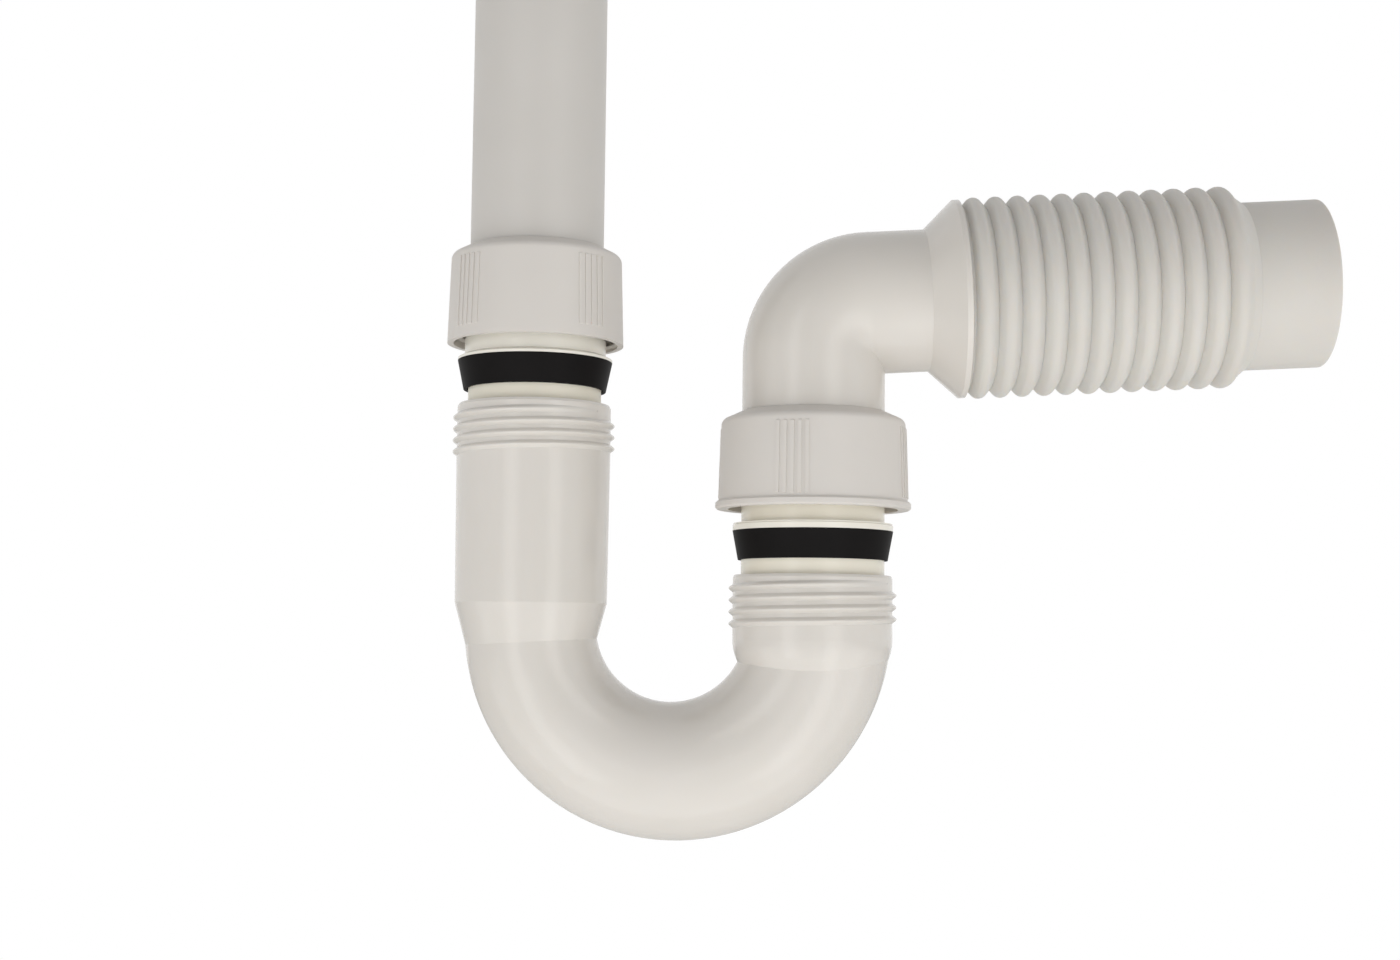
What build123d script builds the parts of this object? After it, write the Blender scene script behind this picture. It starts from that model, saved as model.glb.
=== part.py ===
"""A plastic slip-joint waste trap, pulled apart along its two joints.

Millimetres, +Z up. The origin is the middle of the inlet tube's top end, the inlet's axis is Z, and the
outlet's axis lies to the +X side. Both joints are the same design round pipes of two sizes: a tapered
rubber seal, a slip ring and a union nut on the pipe, and a mouth on the U-bend that takes the seal.
The screw threads are left to the scene: here a nut's bore and a socket's wall stop at the thread's roots.
"""

import os
from math import cos, degrees, radians, sin, tan

from build123d import *

os.makedirs("parts", exist_ok=True)

# Fits, all radial unless they say otherwise
slide_fit = 0.3  # between a pipe and the seal, ring or socket it slides in
nut_hole_fit = 0.4  # between a pipe and the hole in its nut
ring_room = 0.5  # between a slip ring and the nut's chamber round it
thread_gap = 0.4  # between the socket's thread crest and the nut's bore
seat_gap = 0.2  # along the hose, between its end and the shoulder in the flare

# Inlet tube
tube_r = 20.0
tube_wall = 1.9
tube_len = 140.0
tube_grip_len = 77.0  # straight stretch that the sink's own nut grips
tube_draft = 0.2  # how much slimmer the sliding end gets
tube_stand = 12.5  # how far the tube stands in the U-bend

# Outlet elbow: spigot, tight bend, arm and flare
spigot_r = 21.25
elbow_wall = 2.2
spigot_stand = 12.0  # how far the spigot stands in the U-bend
spigot_reach = 64.8  # from the outlet's rim up to the start of the bend
elbow_r = 17.0  # the bend's centreline
elbow_turn = 87.0  # degrees, a standard waste elbow, so the arm rises by the rest of 90
arm_len = 17.2
flare_len = 8.8
flare_r = 29.6
flare_lip = 1.6  # thin straight rim at the end of the flare
flare_seat = 2.4  # depth of the round land that holds the hose

# Corrugated hose
hose_wall = 1.2
hose_crest_out = 0.4  # how far its crests stand out past the flare
hose_wave = 2.7  # crest to valley
hose_flank = 50.0  # degrees that a crest's sides rise at
hose_pitch = 6.6
hose_crests = 12
hose_neck = 3.3  # from its end to the first valley
cuff_r = 25.0
cuff_taper = 3.0
cuff_len = 25.8

# Seals and slip rings
seal_h = 8.6
inlet_seal_tip = 0.95  # wall at the narrow end
inlet_seal_top = 2.75
outlet_seal_tip = 0.65
outlet_seal_top = 2.25
seal_lips = 4
seal_lip_depth = 0.35
seal_lift = 4.5  # how far the seals hang above the rims
inlet_ring_h = 6.5
inlet_rim = 0.8  # height of the ring's upright edge
inlet_slope = 0.9  # height of the slope from that edge to the collar
inlet_collar = 0.75  # wall of the ring's collar
outlet_ring_h = 2.2
outlet_rim = 1.6
outlet_slope = 0.3
outlet_collar = 2.0

# Mouths and sockets on the U-bend
inlet_socket_wall = 2.55
outlet_socket_wall = 2.05
rim_wall = 0.75  # what the mouth's taper leaves at the rim
rim_chamfer = 0.4
thread_h = 1.25

# Union nuts
nut_h = 29.0
nut_shoulder = 4.0
nut_taper = 0.8
nut_slope = 2.6  # drop of the shoulder from the hole to the outer corner
nut_dome = 2.2
nut_thread_len = 17.0
nut_chamber_lead = 0.9  # height of the cone between threaded bore and chamber
nut_edge = 0.5
inlet_nut_wall = 1.8
inlet_nut_lift = 5.2  # above the seal
outlet_nut_wall = 2.9
outlet_nut_lift = 6.4
outlet_nut_lip = 0.9
outlet_nut_lip_h = 2.3
rib_groups = 4
ribs_in_group = 5
rib_pitch = 2.2
rib_width = 1.1
rib_out = 0.22
rib_below_top = 4.8
rib_above_edge = 3.2
inlet_rib_turn = 45.0  # degrees from +X to the first group
outlet_rib_turn = -105.0

# U-bend
leg_spacing = 83.4
bend_in_r = 22.2  # inner side of the bend
bend_tube_r = 19.4  # at the inlet end; it widens until it is flush with the outlet socket's far side
bend_step = 0.15  # what is left of a step there
bend_swell = 1.5  # above 1, most of the widening is near the outlet
bend_sections = 13
bend_wall = 2.2
inlet_leg = 65.3  # rim to the bend's centre
outlet_leg = 15.4
sleeve_draft = 0.35
sleeve_taper_above = 6.5  # where the sleeve's taper starts above the bend's centre
sleeve_taper_below = 6.9
sleeve_taper_in = 3.6  # how much it narrows
tube_stop_above = 3.8  # the ledge that stops the tube
socket_cone_below = 6.4  # where the outlet socket's cone starts below the bend's centre
socket_cone_len = 9.0
socket_cone_in = 3.6
socket_round = 14.0  # radius where the cone leaves the socket
socket_floor_below = 4.7

# Places that follow from these
inlet_x = 0.0
outlet_x = inlet_x + leg_spacing
inlet_rim_z = tube_stand - tube_len
bend_z = inlet_rim_z - inlet_leg
outlet_rim_z = bend_z + outlet_leg
inlet_bore_r = tube_r + slide_fit
outlet_bore_r = spigot_r + slide_fit
inlet_socket_r = inlet_bore_r + inlet_socket_wall
outlet_socket_r = outlet_bore_r + outlet_socket_wall
inlet_mouth = inlet_socket_wall - rim_wall
outlet_mouth = outlet_socket_wall - rim_wall
inlet_mouth_depth = inlet_mouth * seal_h / (inlet_seal_top - inlet_seal_tip)
outlet_mouth_depth = outlet_mouth * seal_h / (outlet_seal_top - outlet_seal_tip)
bend_x = inlet_x + bend_tube_r + bend_in_r
bend_out_r = (outlet_x + outlet_socket_r - bend_step - bend_x - bend_in_r) / 2
inlet_seal_z = inlet_rim_z + seal_lift
outlet_seal_z = outlet_rim_z + seal_lift
elbow_z = outlet_rim_z + spigot_reach
elbow_axis_x = outlet_x + elbow_r
arm_rise = 90.0 - elbow_turn
arm_dir = Vector(cos(radians(arm_rise)), 0, sin(radians(arm_rise)))
arm_start = Vector(elbow_axis_x, 0, elbow_z) + Vector(-arm_dir.Z, 0, arm_dir.X) * elbow_r
arm_plane = Plane(origin=arm_start, x_dir=arm_dir, z_dir=(0, -1, 0))
arm_axis = Axis(arm_start, arm_dir)
flare_end = arm_len + flare_len + flare_lip
hose_crest_r = flare_r + hose_crest_out
hose_valley_r = hose_crest_r - hose_wave
flare_land_r = hose_valley_r + slide_fit


def upright(x):
    """The vertical axis through x."""
    return Axis((x, 0, 0), (0, 0, 1))


def make_seal(label, x, low_z, bore_r, tip_wall, top_wall):
    """A rubber cone, narrow end down, with fine lips in its bore."""
    lip_h = seal_h / seal_lips
    lips = []
    for k in range(seal_lips):
        lips.append((x + bore_r + seal_lip_depth, low_z + (k + 0.5) * lip_h))
        lips.append((x + bore_r, low_z + (k + 1) * lip_h))
    with BuildPart() as seal:
        with BuildSketch(Plane.XZ):
            with BuildLine():
                Polyline(
                    (x + bore_r + top_wall, low_z + seal_h),
                    (x + bore_r + tip_wall, low_z),
                    (x + bore_r, low_z),
                    *lips,
                    close=True,
                )
            make_face()
        revolve(axis=upright(x))
    seal.part.label = label
    export_step(seal.part, f"parts/{label}.step")


def make_ring(label, x, low_z, bore_r, wall, rim, slope, collar_wall, height):
    """The slip ring on the seal's wide end: a flange that slopes up to a collar round the pipe."""
    with BuildPart() as ring:
        with BuildSketch(Plane.XZ):
            with BuildLine():
                Polyline(
                    (x + bore_r, low_z),
                    (x + bore_r + wall, low_z),
                    (x + bore_r + wall, low_z + rim),
                    (x + bore_r + collar_wall, low_z + rim + slope),
                    (x + bore_r + collar_wall, low_z + height),
                    (x + bore_r, low_z + height),
                    close=True,
                )
            make_face()
        revolve(axis=upright(x))
    ring.part.label = label
    export_step(ring.part, f"parts/{label}.step")


def make_nut(label, x, low_z, pipe_r, ring_wall, socket_r, wall, rib_turn, lip=0.0, lip_h=0.0):
    """A union nut: sloping shoulder, slight taper, groups of finger ribs, and a lip where one is asked for."""
    bore_r = socket_r + thread_h + thread_gap
    chamber_r = pipe_r + slide_fit + ring_wall + ring_room
    low_r = bore_r + wall
    top_r = low_r - nut_taper
    top_z = low_z + nut_h
    with BuildPart() as nut:
        with BuildSketch(Plane.XZ):
            with BuildLine():
                Polyline(
                    (x + bore_r, low_z),
                    (x + low_r, low_z),
                    (x + top_r, top_z - nut_slope),
                    (x + pipe_r + nut_hole_fit, top_z),
                    (x + pipe_r + nut_hole_fit, top_z - nut_shoulder),
                    (x + chamber_r, top_z - nut_shoulder),
                    (x + chamber_r, low_z + nut_thread_len + nut_chamber_lead),
                    (x + bore_r, low_z + nut_thread_len),
                    close=True,
                )
            make_face()
        revolve(axis=upright(x))
        fillet(nut.edges().filter_by(GeomType.CIRCLE).group_by(Axis.Z)[-2], nut_dome)
        if lip:
            with BuildSketch(Plane.XZ):
                with BuildLine():
                    Polyline(
                        (x + bore_r, low_z),
                        (x + low_r + lip - nut_edge, low_z),
                        (x + low_r + lip, low_z + nut_edge),
                        (x + low_r + lip, low_z + lip_h - nut_edge),
                        (x + low_r + lip - nut_edge, low_z + lip_h),
                        (x + bore_r, low_z + lip_h),
                        close=True,
                    )
                make_face()
            revolve(axis=upright(x))
        step = degrees(rib_pitch / low_r)
        rib_low, rib_high = rib_above_edge, nut_h - rib_below_top
        for group in range(rib_groups):
            for k in range(ribs_in_group):
                turn = rib_turn + group * 360 / rib_groups + (k - (ribs_in_group - 1) / 2) * step
                side = Plane(
                    origin=(x, 0, low_z),
                    x_dir=(cos(radians(turn)), sin(radians(turn)), 0),
                    z_dir=(sin(radians(turn)), -cos(radians(turn)), 0),
                )
                with BuildSketch(side):
                    with BuildLine():
                        Polyline(
                            (low_r - nut_taper * rib_low / nut_h - wall / 2, rib_low),
                            (low_r - nut_taper * rib_low / nut_h, rib_low),
                            (low_r - nut_taper * rib_low / nut_h + rib_out, rib_low + rib_out),
                            (low_r - nut_taper * rib_high / nut_h + rib_out, rib_high - rib_out),
                            (low_r - nut_taper * rib_high / nut_h, rib_high),
                            (low_r - nut_taper * rib_high / nut_h - wall / 2, rib_high),
                            close=True,
                        )
                    make_face()
                extrude(amount=rib_width / 2, both=True)
    nut.part.label = label
    export_step(nut.part, f"parts/{label}.step")


# Inlet tube: straight at the top, with moulding draft on the end that slides
with BuildPart() as inlet_tube:
    with BuildSketch(Plane.XZ):
        with BuildLine():
            Polyline(
                (inlet_x + tube_r - tube_wall, 0),
                (inlet_x + tube_r, 0),
                (inlet_x + tube_r, -tube_grip_len),
                (inlet_x + tube_r - tube_draft, -tube_len),
                (inlet_x + tube_r - tube_wall, -tube_len),
                close=True,
            )
        make_face()
    revolve(axis=upright(inlet_x))
inlet_tube.part.label = "inlet_tube"
export_step(inlet_tube.part, "parts/inlet_tube.step")


def bend_section(share):
    """Plane and outer radius of the bend's round section, from its inlet end at 0 to its outlet end at 1."""
    turn = radians(180 * share)
    section_r = bend_tube_r + (bend_out_r - bend_tube_r) * share**bend_swell
    centre_r = bend_in_r + section_r
    plane = Plane(
        origin=(bend_x - centre_r * cos(turn), 0, bend_z - centre_r * sin(turn)),
        x_dir=(0, 1, 0),
        z_dir=(sin(turn), 0, -cos(turn)),
    )
    return plane, section_r


# U-bend: two legs and a half ring as one moulding, outside first and then the waterway. The legs are turned
# from half sections, and the ring is lofted through circles that widen towards the outlet
inlet_outside = [
    (inlet_x, inlet_rim_z),
    (inlet_x + inlet_socket_r - rim_chamfer, inlet_rim_z),
    (inlet_x + inlet_socket_r, inlet_rim_z - 2 * rim_chamfer),
    (inlet_x + inlet_socket_r, inlet_rim_z - nut_thread_len),
    (inlet_x + inlet_socket_r - sleeve_draft, bend_z + sleeve_taper_above),
    (inlet_x + inlet_socket_r - sleeve_draft - sleeve_taper_in, bend_z - sleeve_taper_below),
    (inlet_x, bend_z - sleeve_taper_below),
]
cone_start = (outlet_x + outlet_socket_r, bend_z - socket_cone_below)
outlet_outside = [
    (outlet_x, outlet_rim_z),
    (outlet_x + outlet_socket_r - rim_chamfer, outlet_rim_z),
    (outlet_x + outlet_socket_r, outlet_rim_z - 2 * rim_chamfer),
    cone_start,
    (outlet_x + outlet_socket_r - socket_cone_in, bend_z - socket_cone_below - socket_cone_len),
    (outlet_x, bend_z - socket_cone_below - socket_cone_len),
]
inlet_inside = [
    (inlet_x, inlet_rim_z),
    (inlet_x + inlet_bore_r + inlet_mouth, inlet_rim_z),
    (inlet_x + inlet_bore_r, inlet_rim_z - inlet_mouth_depth),
    (inlet_x + inlet_bore_r, bend_z + tube_stop_above),
    (inlet_x + bend_tube_r - bend_wall, bend_z),
    (inlet_x, bend_z),
]
outlet_inside = [
    (outlet_x, outlet_rim_z),
    (outlet_x + outlet_bore_r + outlet_mouth, outlet_rim_z),
    (outlet_x + outlet_bore_r, outlet_rim_z - outlet_mouth_depth),
    (outlet_x + outlet_bore_r, bend_z - socket_floor_below),
    (outlet_x + outlet_bore_r - socket_cone_in, bend_z - socket_floor_below - socket_cone_len),
    (outlet_x, bend_z - socket_floor_below - socket_cone_len),
]
with BuildPart() as u_bend:
    for inlet_half, outlet_half, inset, mode in (
        (inlet_outside, outlet_outside, 0, Mode.ADD),
        (inlet_inside, outlet_inside, bend_wall, Mode.SUBTRACT),
    ):
        for x, half in ((inlet_x, inlet_half), (outlet_x, outlet_half)):
            with BuildSketch(Plane.XZ):
                with BuildLine():
                    Polyline(*half, close=True)
                make_face()
                if half is outlet_outside:
                    fillet(vertices().sort_by_distance(cone_start)[0], socket_round)
            revolve(axis=upright(x), mode=mode)
        for k in range(bend_sections):
            plane, section_r = bend_section(k / (bend_sections - 1))
            with BuildSketch(plane):
                Circle(section_r - inset)
        loft(mode=mode)
u_bend.part.label = "u_bend"
export_step(u_bend.part, "parts/u_bend.step")

# The two sets of seal, slip ring and union nut, one on each pipe
make_seal("inlet_seal", inlet_x, inlet_seal_z, inlet_bore_r, inlet_seal_tip, inlet_seal_top)
make_ring(
    "inlet_ring",
    inlet_x,
    inlet_seal_z + seal_h,
    inlet_bore_r,
    inlet_seal_top,
    inlet_rim,
    inlet_slope,
    inlet_collar,
    inlet_ring_h,
)
make_nut(
    "inlet_nut",
    inlet_x,
    inlet_seal_z + seal_h + inlet_nut_lift,
    tube_r,
    inlet_seal_top,
    inlet_socket_r,
    inlet_nut_wall,
    inlet_rib_turn,
)
make_seal("outlet_seal", outlet_x, outlet_seal_z, outlet_bore_r, outlet_seal_tip, outlet_seal_top)
make_ring(
    "outlet_ring",
    outlet_x,
    outlet_seal_z + seal_h,
    outlet_bore_r,
    outlet_seal_top,
    outlet_rim,
    outlet_slope,
    outlet_collar,
    outlet_ring_h,
)
make_nut(
    "outlet_nut",
    outlet_x,
    outlet_seal_z + seal_h + outlet_nut_lift,
    spigot_r,
    outlet_seal_top,
    outlet_socket_r,
    outlet_nut_wall,
    outlet_rib_turn,
    outlet_nut_lip,
    outlet_nut_lip_h,
)

# Outlet elbow: the bend is tighter than the pipe, so the heel is a ring cut off at its own axis and the
# spigot and arm meet in a crease on the inside
with BuildPart() as outlet_elbow:
    for pipe_r, mode in ((spigot_r, Mode.ADD), (spigot_r - elbow_wall, Mode.SUBTRACT)):
        with BuildSketch(Plane.XY.offset(outlet_rim_z - spigot_stand)):
            with Locations((outlet_x, 0)):
                Circle(pipe_r)
        extrude(amount=spigot_reach + spigot_stand, mode=mode)
        with BuildSketch(Plane.XY.offset(elbow_z)):
            with Locations((outlet_x, 0)):
                Circle(pipe_r)
            with Locations((elbow_axis_x + pipe_r, 0)):
                Rectangle(2 * pipe_r, 3 * pipe_r, mode=Mode.SUBTRACT)
        revolve(
            axis=Axis((elbow_axis_x, 0, elbow_z), (0, 1, 0)), revolution_arc=elbow_turn, mode=mode
        )
        with BuildSketch(arm_plane):
            with BuildLine():
                if mode == Mode.ADD:
                    Polyline(
                        (0, 0),
                        (0, pipe_r),
                        (arm_len, pipe_r),
                        (arm_len + flare_len, flare_r),
                        (flare_end, flare_r),
                        (flare_end, 0),
                        close=True,
                    )
                else:
                    Polyline(
                        (0, 0),
                        (0, pipe_r),
                        (arm_len + elbow_wall / 2, pipe_r),
                        (flare_end - flare_seat, flare_land_r - hose_wall - slide_fit),
                        (flare_end - flare_seat, flare_land_r),
                        (flare_end, flare_land_r),
                        (flare_end, 0),
                        close=True,
                    )
            make_face()
        revolve(axis=arm_axis, mode=mode)
outlet_elbow.part.label = "outlet_elbow"
export_step(outlet_elbow.part, "parts/outlet_elbow.step")

# Corrugated hose: one thin wall of round crests and sharp valleys between a neck in the flare and a cuff.
# A crest's arc starts where its straight flanks have risen to it; inside, the wall folds in plain flats
hose_start = flare_end - flare_seat + seat_gap
first_valley = hose_start + hose_neck
last_valley = first_valley + hose_crests * hose_pitch
flank_slope = tan(radians(hose_flank))
crest_round = (hose_pitch / 2 * flank_slope - hose_wave) / (1 / cos(radians(hose_flank)) - 1)
flank_run = hose_pitch / 2 - crest_round * sin(radians(hose_flank))
flank_top_r = hose_valley_r + flank_run * flank_slope
folds = [(first_valley, hose_valley_r - hose_wall)]
for k in range(hose_crests):
    valley = first_valley + k * hose_pitch
    folds.append((valley + hose_pitch / 3, hose_crest_r - hose_wall))
    folds.append((valley + hose_pitch * 2 / 3, hose_crest_r - hose_wall))
    folds.append((valley + hose_pitch, hose_valley_r - hose_wall))
with BuildPart() as outlet_hose:
    with BuildSketch(arm_plane):
        with BuildLine():
            Line((hose_start, hose_valley_r), (first_valley, hose_valley_r))
            for k in range(hose_crests):
                valley = first_valley + k * hose_pitch
                Line((valley, hose_valley_r), (valley + flank_run, flank_top_r))
                ThreePointArc(
                    (valley + flank_run, flank_top_r),
                    (valley + hose_pitch / 2, hose_crest_r),
                    (valley + hose_pitch - flank_run, flank_top_r),
                )
                Line((valley + hose_pitch - flank_run, flank_top_r), (valley + hose_pitch, hose_valley_r))
            Polyline(
                (last_valley, hose_valley_r),
                (last_valley + cuff_taper, cuff_r),
                (last_valley + cuff_len, cuff_r),
                (last_valley + cuff_len, cuff_r - hose_wall),
                (last_valley + cuff_taper, cuff_r - hose_wall),
                *reversed(folds),
                (hose_start, hose_valley_r - hose_wall),
                (hose_start, hose_valley_r),
            )
        make_face()
    revolve(axis=arm_axis)
outlet_hose.part.label = "outlet_hose"
export_step(outlet_hose.part, "parts/outlet_hose.step")
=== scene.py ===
# %% [markdown]
# # A slip-joint waste trap, opened at its two joints
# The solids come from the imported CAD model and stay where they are. This script gives them their plastics
# and rubber, adds the screw threads that the solids leave out, and sets up light and camera.

# %% Load the frame
import math

import bmesh
import bpy
from mathutils import Euler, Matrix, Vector


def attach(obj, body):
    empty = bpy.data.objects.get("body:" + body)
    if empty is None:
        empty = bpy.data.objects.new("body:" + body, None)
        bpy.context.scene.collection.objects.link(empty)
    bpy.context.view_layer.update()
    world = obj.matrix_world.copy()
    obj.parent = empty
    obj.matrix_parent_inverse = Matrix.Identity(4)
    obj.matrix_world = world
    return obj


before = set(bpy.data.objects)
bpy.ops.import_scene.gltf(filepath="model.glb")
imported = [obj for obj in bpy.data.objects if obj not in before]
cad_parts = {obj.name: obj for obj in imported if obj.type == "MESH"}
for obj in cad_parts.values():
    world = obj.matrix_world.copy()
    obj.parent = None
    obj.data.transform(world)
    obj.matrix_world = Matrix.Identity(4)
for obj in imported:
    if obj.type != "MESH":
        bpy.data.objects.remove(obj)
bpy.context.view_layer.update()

scene = bpy.context.scene
scene.view_settings.view_transform = "Standard"
MM = 0.001
print("CAD nodes:", sorted(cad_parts))

# %% [markdown]
# ## Colour and node helpers
# Colours are written as the sRGB hex values that a paint chart or picture editor shows. Blender's shaders
# work in linear light, so one function turns a hex value into that. A second one adds a shader node, sets
# its inputs and links it, so that each material below reads as a short list.

# %% Helpers for colours and nodes
def linear(hex_value):
    """An sRGB hex colour as linear RGBA."""
    parts = [int(hex_value[i : i + 2], 16) / 255 for i in (1, 3, 5)]
    return [c / 12.92 if c <= 0.04045 else ((c + 0.055) / 1.055) ** 2.4 for c in parts] + [1.0]


def add_node(tree, kind, inputs=(), **settings):
    """A new node. An input that is a socket is linked, any other value is set on it."""
    node = tree.nodes.new(kind)
    for name, value in settings.items():
        setattr(node, name, value)
    for key, value in dict(inputs).items():
        if isinstance(value, bpy.types.NodeSocket):
            tree.links.new(value, node.inputs[key])
        else:
            node.inputs[key].default_value = value
    return node


def new_material(name):
    """An empty material with an output node: (material, tree, output)."""
    material = bpy.data.materials.new(name)
    material.use_nodes = True
    material.node_tree.nodes.clear()
    return material, material.node_tree, add_node(material.node_tree, "ShaderNodeOutputMaterial")


print("white in linear light:", linear("#FFFFFF"))

# %% [markdown]
# ## Moulded plastic
# Waste fittings are injection-moulded from white polypropylene, which ages to a warm off-white. The mould
# is finely etched, so the skin is satin: broad soft highlights, no mirror. Light goes a millimetre or two
# into the plastic before it comes out again, which softens the shading. The colour drifts very slightly
# where the melt flowed, over some 30 mm. The etched grain is about 0.2 mm, too fine for the picture, so
# it is drawn at 0.5 mm. Low on the tube and the elbow, in the shade under seal and nut, a pale ivory is
# painted into the colour as painted warm bounce light, which fades out under seal and nut. One function
# makes all these plastics, because they differ only in colour, gloss and grain.

# %% A moulded plastic
FLOW_DRIFT = 30 * MM
ETCHED_GRAIN = 0.5 * MM
GRAIN_STRENGTH = 0.6
PLASTIC_IOR = 1.49
SCATTER_DEPTH = 1.5 * MM
SCATTER_RGB = (1.0, 0.8, 0.6)
THICK_WALL_MILK = 0.12
# Pale ivory painted low on tube and elbow: painted warm bounce light in the shade under seal and nut. The
# pairs are the heights in mm where it starts and where it is full.
BOUNCE_IVORY = "#F3EDDD"
TUBE_PAINTED_BOUNCE = (-118.5, -122.5)
ELBOW_PAINTED_BOUNCE = (-146.0, -158.0)


def moulded_plastic(name, pale, deep, gloss, matt, grain_depth, painted_bounce=None, milk=THICK_WALL_MILK):
    """Satin plastic that drifts between two hex colours and two roughnesses.

    The heights in painted_bounce are where a pale ivory, painted warm bounce light, starts and is full,
    and milk is the share of light that scatters in the wall. Grain depth and heights are in mm.
    """
    material, tree, output = new_material(name)
    place = add_node(tree, "ShaderNodeTexCoord").outputs["Object"]
    drift = add_node(tree, "ShaderNodeTexNoise", {"Vector": place, "Scale": 1 / FLOW_DRIFT, "Detail": 2.0})
    grain = add_node(tree, "ShaderNodeTexNoise", {"Vector": place, "Scale": 1 / ETCHED_GRAIN, "Detail": 1.0})
    colour = add_node(tree, "ShaderNodeMix", {"Factor": drift.outputs["Fac"]}, data_type="RGBA")
    colour.inputs["A"].default_value = linear(pale)
    colour.inputs["B"].default_value = linear(deep)
    # Painted warm bounce light: below the given heights the colour turns to a pale ivory.
    if painted_bounce is not None:
        height = add_node(tree, "ShaderNodeSeparateXYZ", {"Vector": place}).outputs["Z"]
        fade = {"From Min": painted_bounce[0] * MM, "From Max": painted_bounce[1] * MM}
        bounce_lit = add_node(
            tree, "ShaderNodeMapRange", {"Value": height, **fade}, interpolation_type="SMOOTHSTEP"
        )
        aged = colour
        colour = add_node(tree, "ShaderNodeMix", {"Factor": bounce_lit.outputs["Result"]}, data_type="RGBA")
        tree.links.new(aged.outputs["Result"], colour.inputs["A"])
        colour.inputs["B"].default_value = linear(BOUNCE_IVORY)
    rough = add_node(
        tree, "ShaderNodeMapRange", {"Value": drift.outputs["Fac"], "To Min": gloss, "To Max": matt}
    )
    etched = {"Height": grain.outputs["Fac"], "Strength": GRAIN_STRENGTH, "Distance": grain_depth * MM}
    bump = add_node(tree, "ShaderNodeBump", etched)
    skin = add_node(
        tree,
        "ShaderNodeBsdfPrincipled",
        {
            "Base Color": colour.outputs["Result"],
            "Roughness": rough.outputs["Result"],
            "Normal": bump.outputs["Normal"],
            "IOR": PLASTIC_IOR,
            "Subsurface Weight": milk,
            "Subsurface Radius": SCATTER_RGB,
            "Subsurface Scale": SCATTER_DEPTH,
        },
    )
    tree.links.new(skin.outputs["BSDF"], output.inputs["Surface"])
    return material


# %% [markdown]
# ## The five polypropylenes
# The U-bend and the elbow have the smoothest skin and show soft streaks of light. The tube is extruded,
# so it is duller, and the nuts are etched most, for grip. The slip rings are milky white plastic painted a
# pale ivory, which is painted warm bounce light from the shade under the nuts. Cycles' denoiser takes a
# surface for a dull one above a roughness of about 0.27, and draws an edge where a surface crosses that.
# So each range of roughness lies on one side of it.

# %% Polypropylene for bend, elbow, tube, nuts and rings
bend_plastic = moulded_plastic(
    "polypropylene_moulded_satin", pale="#E1DCD6", deep="#D8D3CB", gloss=0.17, matt=0.23, grain_depth=0.02
)
elbow_plastic = moulded_plastic(
    "polypropylene_elbow_satin",
    pale="#E1DCD6",
    deep="#D8D3CB",
    gloss=0.2,
    matt=0.26,
    grain_depth=0.02,
    painted_bounce=ELBOW_PAINTED_BOUNCE,
)
tube_plastic = moulded_plastic(
    "polypropylene_tube_satin",
    pale="#D5D1CC",
    deep="#CDC9C3",
    gloss=0.4,
    matt=0.5,
    grain_depth=0.02,
    painted_bounce=TUBE_PAINTED_BOUNCE,
)
nut_plastic = moulded_plastic(
    "polypropylene_moulded_matt", pale="#DDD8D2", deep="#D5D0CA", gloss=0.48, matt=0.6, grain_depth=0.04
)
# The rings' own milky white, painted a paler ivory: painted warm bounce light in the shade under the nuts.
ring_plastic = moulded_plastic(
    "polypropylene_natural_gloss_painted_bounce", pale="#F4F0E6", deep="#EFEADD", gloss=0.2, matt=0.26, grain_depth=0.01
)
for plastic in (bend_plastic, elbow_plastic, tube_plastic, nut_plastic, ring_plastic):
    print("made", plastic.name)

# %% [markdown]
# ## Blown polyethylene and rubber
# The corrugated hose is blown from softer polyethylene. Its wall is thin and milky, so it is duller, and
# light that goes in on one side of a fold comes out on the other and fills the grooves. The seals are
# black moulded EPDM rubber: nearly no gloss, with a bloom in patches of some 6 mm that lifts the black a
# little. Their fine grain is drawn at 0.6 mm, coarser than it is, so that it shows.

# %% Hose plastic and seal rubber
THIN_WALL_MILK = 0.7
hose_plastic = moulded_plastic(
    "polyethylene_blown_dull",
    pale="#DBD8D2",
    deep="#D2CEC8",
    gloss=0.5,
    matt=0.62,
    grain_depth=0.03,
    milk=THIN_WALL_MILK,
)

BLOOM = 6 * MM
RUBBER_GRAIN = 0.6 * MM
RUBBER_GRAIN_DEPTH = 0.03 * MM
RUBBER_ROUGHNESS = 0.55
RUBBER_IOR = 1.5
RUBBER_SHEEN = 0.06
seal_rubber, tree, output = new_material("epdm_rubber_moulded")
place = add_node(tree, "ShaderNodeTexCoord").outputs["Object"]
bloom = add_node(tree, "ShaderNodeTexNoise", {"Vector": place, "Scale": 1 / BLOOM, "Detail": 3.0})
grain = add_node(tree, "ShaderNodeTexNoise", {"Vector": place, "Scale": 1 / RUBBER_GRAIN})
black = add_node(tree, "ShaderNodeMix", {"Factor": bloom.outputs["Fac"]}, data_type="RGBA")
black.inputs["A"].default_value = linear("#121111")
black.inputs["B"].default_value = linear("#191717")
pores = {"Height": grain.outputs["Fac"], "Strength": 0.5, "Distance": RUBBER_GRAIN_DEPTH}
bump = add_node(tree, "ShaderNodeBump", pores)
rubber = add_node(
    tree,
    "ShaderNodeBsdfPrincipled",
    {
        "Base Color": black.outputs["Result"],
        "Roughness": RUBBER_ROUGHNESS,
        "IOR": RUBBER_IOR,
        "Specular IOR Level": RUBBER_SHEEN,
        "Normal": bump.outputs["Normal"],
    },
)
tree.links.new(rubber.outputs["BSDF"], output.inputs["Surface"])
print("made", hose_plastic.name, "and", seal_rubber.name)

# %% [markdown]
# ## Dress the ten pieces
# Each piece is one moulding of one stuff, so it takes one material. The solids' own meshes are fine
# enough to be shown, so they are kept and no copy is made.

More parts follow.
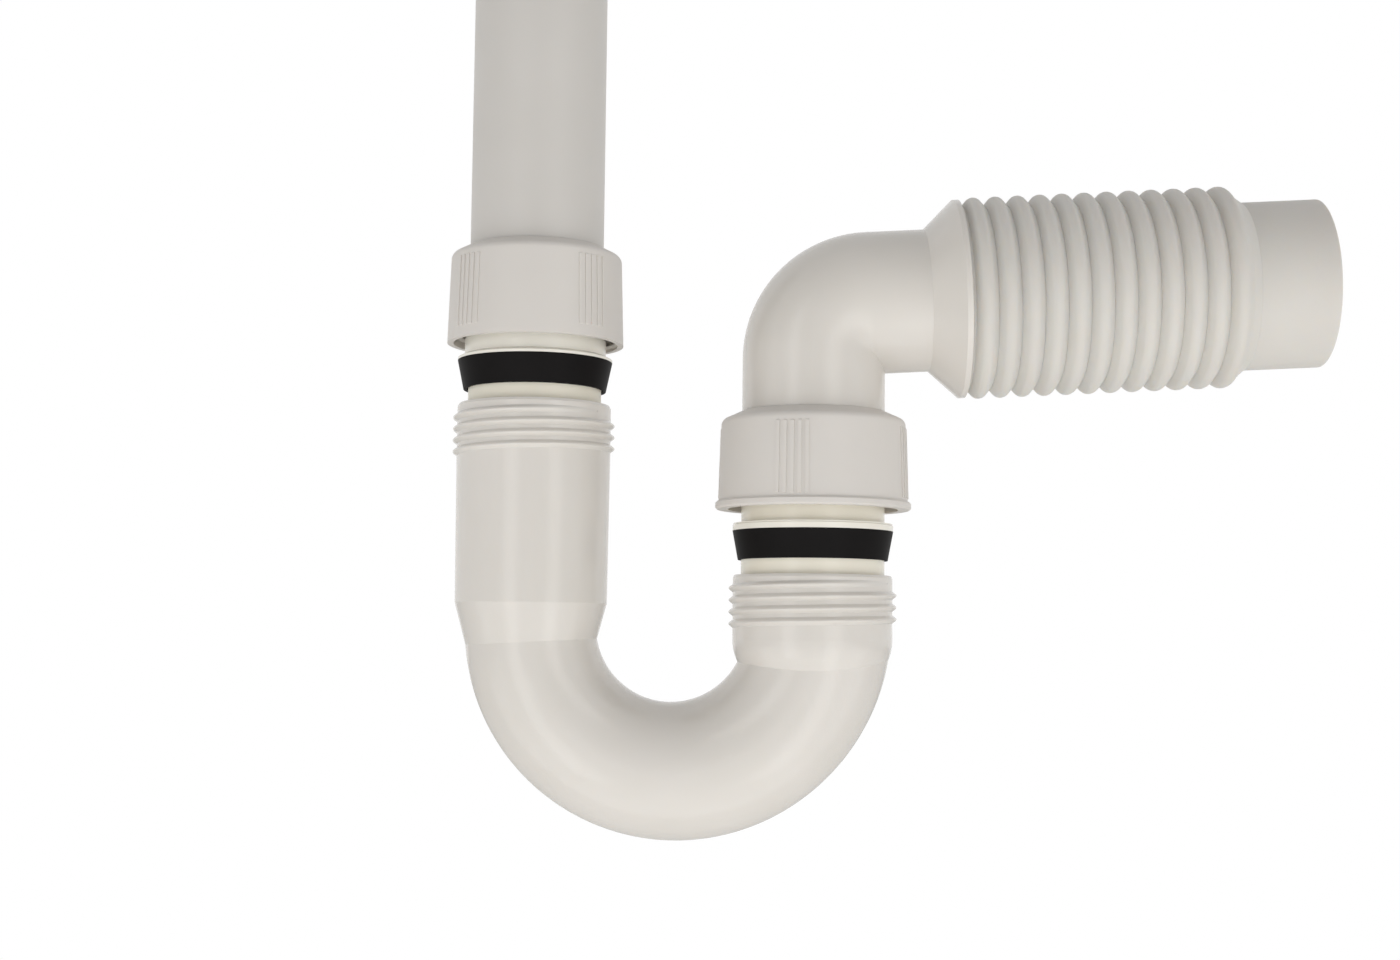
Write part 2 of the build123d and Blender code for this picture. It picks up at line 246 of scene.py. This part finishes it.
# %% Give each CAD node its material
FINISH = {
    "inlet_tube": tube_plastic,
    "inlet_nut": nut_plastic,
    "inlet_ring": ring_plastic,
    "inlet_seal": seal_rubber,
    "u_bend": bend_plastic,
    "outlet_seal": seal_rubber,
    "outlet_ring": ring_plastic,
    "outlet_nut": nut_plastic,
    "outlet_elbow": elbow_plastic,
    "outlet_hose": hose_plastic,
}
for name, material in FINISH.items():
    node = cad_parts[name]
    node.data.materials.clear()
    node.data.materials.append(material)
    print(name, "->", material.name)

# %% [markdown]
# ## Screw threads
# The sockets of the U-bend carry a coarse right-hand thread with rounded crests, moulded in one with the
# wall, and the nuts have the matching one inside. A thread is a small profile swept along a helix. A
# Screw modifier could do that, but it can't fade the ends, and a moulded thread starts and stops with a
# soft run-out. So the profile is placed step by step, and shrinks over the last part of a turn. Its foot
# is sunk a little into the wall, so that no gap shows.

# %% A helical ridge
STEPS_PER_TURN = 96
PROFILE_POINTS = 11
RUN_OUT = math.radians(90)
SUNK = 0.15


def helical_ridge(name, x, z_at_zero, pitch, start, stop, root_r, crest_r, width):
    """A round ridge from root_r to crest_r on a right-hand helix about the upright axis at x.

    It runs from the angle start to the angle stop, in degrees, and its height at 0 is z_at_zero. Sizes in mm.
    """
    start, stop = math.radians(start), math.radians(stop)
    count = round((stop - start) / (2 * math.pi) * STEPS_PER_TURN)
    foot_r = root_r - math.copysign(SUNK, crest_r - root_r)
    mesh = bmesh.new()
    rings = []
    for i in range(count + 1):
        angle = start + (stop - start) * i / count
        fade = min(1.0, (angle - start) / RUN_OUT, (stop - angle) / RUN_OUT)
        fade = fade * fade * (3 - 2 * fade)
        z = z_at_zero + pitch * angle / (2 * math.pi)
        tall = root_r + (crest_r - root_r) * fade - foot_r
        ring = []
        for k in range(PROFILE_POINTS):
            share = 2 * k / (PROFILE_POINTS - 1) - 1
            r = foot_r + tall * (0.5 + 0.5 * math.cos(math.pi * share))
            up = share * width / 2
            across, deep = x + r * math.cos(angle), r * math.sin(angle)
            ring.append(mesh.verts.new((across * MM, deep * MM, (z + up) * MM)))
        rings.append(ring)
    for before, after in zip(rings, rings[1:]):
        for k in range(PROFILE_POINTS):
            n = (k + 1) % PROFILE_POINTS
            mesh.faces.new((before[k], after[k], after[n], before[n]))
    mesh.faces.new(rings[0])
    mesh.faces.new(rings[-1][::-1])
    bmesh.ops.recalc_face_normals(mesh, faces=mesh.faces)
    data = bpy.data.meshes.new(name)
    mesh.to_mesh(data)
    mesh.free()
    for face in data.polygons:
        face.use_smooth = True
    ridge = bpy.data.objects.new(name, data)
    scene.collection.objects.link(ridge)
    return ridge


# %% [markdown]
# ## Four threads in two pairs
# A nut's thread lies on its socket's helix, half a pitch higher, so the two stay in mesh when the nut is
# screwed down. The socket's angles count from the middle of its thread. The nut hangs open eight to ten
# turns above, so its angles are larger by that.

# %% Add the four threads
THREAD_H = 1.25
NUT_THREAD_H = 1.3
NUT_GAP = 0.4
INLET_X = 0.0
INLET_PITCH = 3.4
INLET_SOCKET_R = 22.85
INLET_BORE_R = INLET_SOCKET_R + THREAD_H + NUT_GAP
INLET_RIM = -127.5
INLET_MIDDLE = INLET_RIM - 9.3
OUTLET_X = 83.4
OUTLET_PITCH = 3.5
OUTLET_SOCKET_R = 23.6
OUTLET_BORE_R = OUTLET_SOCKET_R + THREAD_H + NUT_GAP
OUTLET_RIM = -177.4
OUTLET_MIDDLE = OUTLET_RIM - 9.15

inlet_thread = {"start": -640, "stop": 690, "width": 3.0}
inlet_thread |= {"x": INLET_X, "pitch": INLET_PITCH, "z_at_zero": INLET_MIDDLE}
inlet_thread |= {"root_r": INLET_SOCKET_R, "crest_r": INLET_SOCKET_R + THREAD_H}
outlet_thread = {"start": -640, "stop": 695, "width": 3.1}
outlet_thread |= {"x": OUTLET_X, "pitch": OUTLET_PITCH, "z_at_zero": OUTLET_MIDDLE}
outlet_thread |= {"root_r": OUTLET_SOCKET_R, "crest_r": OUTLET_SOCKET_R + THREAD_H}
inlet_nut_thread = {"start": 2840, "stop": 4050, "width": 2.0}
inlet_nut_thread |= {"x": INLET_X, "pitch": INLET_PITCH, "z_at_zero": INLET_MIDDLE + INLET_PITCH / 2}
inlet_nut_thread |= {"root_r": INLET_BORE_R, "crest_r": INLET_BORE_R - NUT_THREAD_H}
outlet_nut_thread = {"start": 2980, "stop": 4200, "width": 2.2}
outlet_nut_thread |= {"x": OUTLET_X, "pitch": OUTLET_PITCH, "z_at_zero": OUTLET_MIDDLE + OUTLET_PITCH / 2}
outlet_nut_thread |= {"root_r": OUTLET_BORE_R, "crest_r": OUTLET_BORE_R - NUT_THREAD_H}
THREADS = [
    ("inlet_thread", "u_bend", bend_plastic, inlet_thread),
    ("outlet_thread", "u_bend", bend_plastic, outlet_thread),
    ("inlet_nut_thread", "inlet_nut", nut_plastic, inlet_nut_thread),
    ("outlet_nut_thread", "outlet_nut", nut_plastic, outlet_nut_thread),
]
for name, body, material, shape in THREADS:
    ridge = helical_ridge(name, **shape)
    ridge.data.materials.append(material)
    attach(ridge, body)
    print(name, "rides on", body, "with", len(ridge.data.polygons), "faces")

# %% [markdown]
# ## Floor and world
# The picture is a product shot on white, lit almost evenly. A floor of white paper lies well below the
# trap, and the world gives a dim light from all round. To the camera both are pure white, so no horizon
# shows, and in reflections the world is white too. A Light Path node tells these rays apart.

# %% Paper floor
FLOOR_Z = -0.5
FLOOR_REACH = 3
paper, tree, output = new_material("white_paper")
ray = add_node(tree, "ShaderNodeLightPath").outputs
sheet = add_node(tree, "ShaderNodeBsdfDiffuse", {"Color": linear("#F2F2F0")})
bright = add_node(tree, "ShaderNodeEmission", {"Color": linear("#FFFFFF"), "Strength": 1.0})
shown = add_node(
    tree, "ShaderNodeMixShader", {0: ray["Is Camera Ray"], 1: sheet.outputs[0], 2: bright.outputs[0]}
)
tree.links.new(shown.outputs[0], output.inputs["Surface"])
corners = [(x * FLOOR_REACH, y * FLOOR_REACH, FLOOR_Z) for x, y in ((-1, -1), (1, -1), (1, 1), (-1, 1))]
floor_mesh = bpy.data.meshes.new("floor")
floor_mesh.from_pydata(corners, [], [(0, 1, 2, 3)])
floor_mesh.materials.append(paper)
floor = bpy.data.objects.new("floor", floor_mesh)
scene.collection.objects.link(floor)
print("floor at", FLOOR_Z, "m")

# %% World
AMBIENT = 0.46
world = bpy.data.worlds.new("studio")
scene.world = world
world.use_nodes = True
tree = world.node_tree
tree.nodes.clear()
ray = add_node(tree, "ShaderNodeLightPath").outputs
mirrored = add_node(
    tree, "ShaderNodeMath", {0: ray["Is Glossy Ray"], 1: ray["Is Transmission Ray"]}, operation="MAXIMUM"
)
seen = add_node(
    tree, "ShaderNodeMath", {0: ray["Is Camera Ray"], 1: mirrored.outputs[0]}, operation="MAXIMUM"
)
dim = add_node(tree, "ShaderNodeBackground", {"Color": linear("#FFFFFF"), "Strength": AMBIENT})
white = add_node(tree, "ShaderNodeBackground", {"Color": linear("#FFFFFF"), "Strength": 1.0})
mixed = add_node(tree, "ShaderNodeMixShader", {0: seen.outputs[0], 1: dim.outputs[0], 2: white.outputs[0]})
add_node(tree, "ShaderNodeOutputWorld", {"Surface": mixed.outputs[0]})
print("ambient", AMBIENT)

# %% [markdown]
# ## Lamps
# The light is a little stronger from below, as on a light table, so a wide lamp lies on the floor and
# shines up. Two narrow upright panels in front of the trap draw the soft pair of streaks on its round
# walls. They reach down to the floor, so that the walls that face down show them too, and they are kept
# out of the diffuse light, so the walls stay evenly lit. The fill panels at the sides and behind do the
# opposite: they lift the flanks and the back and leave no streak.

# %% Lamps
AIM = Vector((0.07, 0.0, -0.13))


def soft_box(name, place, wide, high, radiance, diffuse=True, glossy=True):
    """A white area lamp that faces the middle of the trap and isn't seen itself.

    A lamp of one radiance all over its face gives pi x area x radiance watts. Sizes in m.
    """
    lamp = bpy.data.lights.new(name, "AREA")
    lamp.shape = "RECTANGLE"
    lamp.size = wide
    lamp.size_y = high
    lamp.energy = math.pi * wide * high * radiance
    box = bpy.data.objects.new(name, lamp)
    box.location = place
    box.rotation_euler = (AIM - Vector(place)).to_track_quat("-Z", "Y").to_euler()
    box.visible_camera = False
    box.visible_diffuse = diffuse
    box.visible_glossy = glossy
    scene.collection.objects.link(box)
    print(name, round(lamp.energy, 2), "W")


soft_box("light_table", (0.07, -0.1, FLOOR_Z + 0.01), wide=2.0, high=2.0, radiance=0.84)
soft_box("panel_left", (-0.163, -0.347, -0.17), wide=0.133, high=0.64, radiance=1.2, diffuse=False)
soft_box("panel_right", (0.24, -0.3, -0.17), wide=0.133, high=0.64, radiance=1.2, diffuse=False)
soft_box("fill_left", (-1.1, -0.45, -0.15), wide=0.9, high=0.9, radiance=0.65, glossy=False)
soft_box("fill_right", (1.25, -0.45, -0.15), wide=0.9, high=0.9, radiance=0.9, glossy=False)
soft_box("fill_back", (0.07, 1.2, -0.1), wide=1.4, high=1.0, radiance=0.8, glossy=False)

# %% [markdown]
# ## Camera
# The photograph was taken from close by, a little below the middle of the trap and looking slightly up.
# Its focal length is known in pixels of a picture 1400 wide, which the sensor's width turns into
# millimetres. The roll comes last, about the line of sight, so it is multiplied on the right.

# %% Camera
PICTURE_W = 1400
FOCUS_PX = 1852.0
SENSOR_W = 36.0
CAMERA_PLACE = (0.0585, -0.55, -0.1935)
PITCH = math.radians(4.6)
YAW = math.radians(-0.91)
ROLL = math.radians(0.62)
camera_data = bpy.data.cameras.new("camera")
camera_data.sensor_fit = "HORIZONTAL"
camera_data.sensor_width = SENSOR_W
camera_data.lens = SENSOR_W * FOCUS_PX / PICTURE_W
camera_data.clip_start = 0.01
camera = bpy.data.objects.new("camera", camera_data)
camera.location = CAMERA_PLACE
look = Euler((math.pi / 2 + PITCH, 0, -YAW), "XYZ").to_matrix() @ Euler((0, 0, ROLL), "XYZ").to_matrix()
camera.rotation_euler = look.to_euler()
scene.collection.objects.link(camera)
scene.camera = camera
print("camera at", CAMERA_PLACE, "lens", round(camera_data.lens, 1), "mm")
